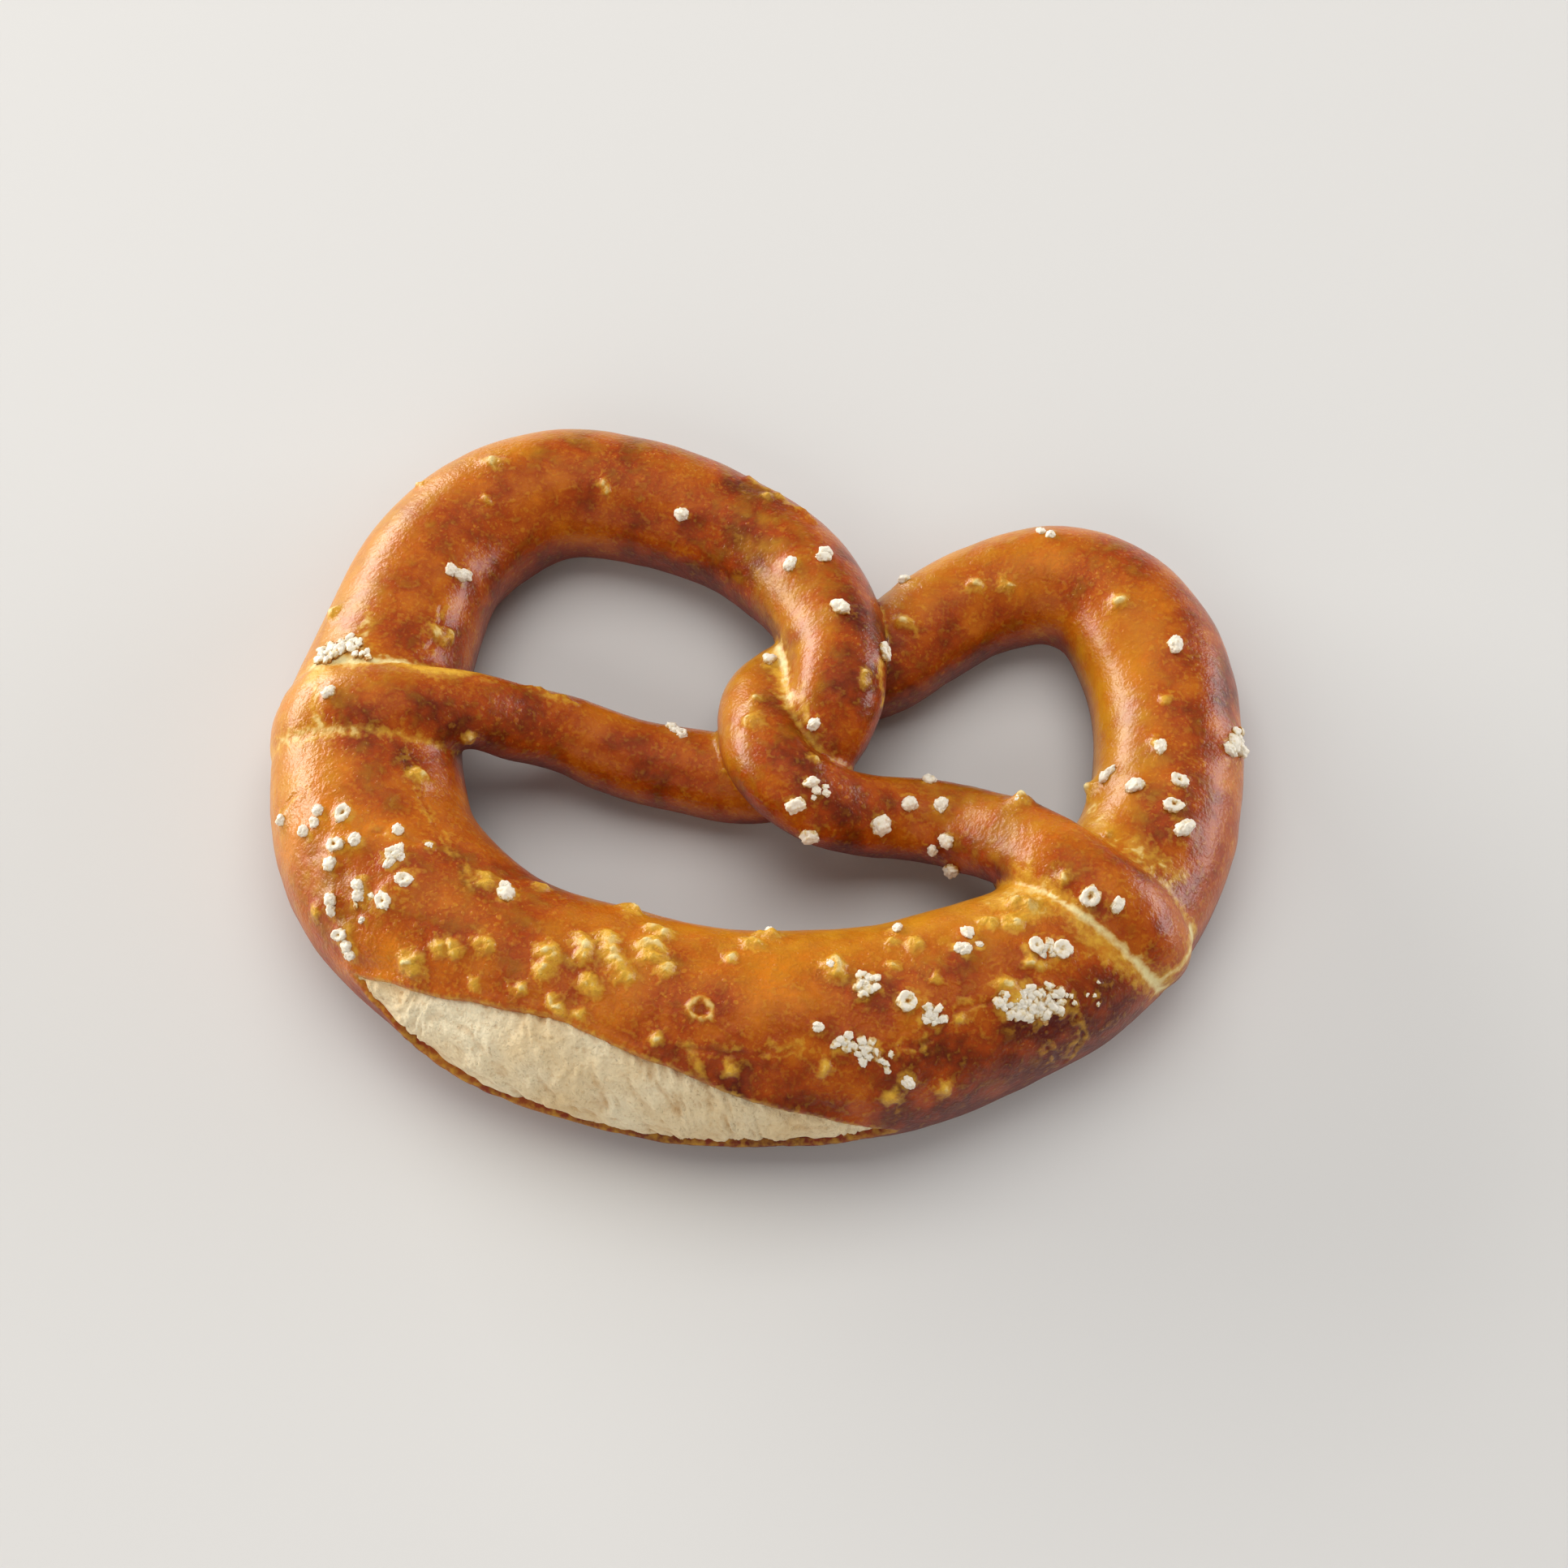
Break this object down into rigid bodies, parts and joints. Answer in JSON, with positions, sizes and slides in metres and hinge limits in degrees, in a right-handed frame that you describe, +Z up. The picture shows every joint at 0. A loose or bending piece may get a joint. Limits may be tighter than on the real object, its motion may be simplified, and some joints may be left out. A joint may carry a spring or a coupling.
{
  "type": "soft pretzel",
  "caption": "Baked soft pretzel: one looped rope of dough with a twist, a thick belly, thin arms, a burst front crust and baked-on coarse salt.",
  "frame": {"origin": "on the surface the pretzel lies on, under the middle of its outline", "axes": "+Z up, +X from the left loop towards the right loop, -Y towards the thick belly with the burst crust"},
  "size_m": [0.1672, 0.1357, 0.0315],
  "materials": {
    "crust": "glossy orange-brown baked crust, finely mottled, gold along its seams",
    "crumb": "matt cream bread crumb with fine torn relief",
    "salt": "dull white coarse salt grains with a slight sheen"
  },
  "bodies": {
    "root": {"pretzel": "crust"}
  },
  "joints": []
}
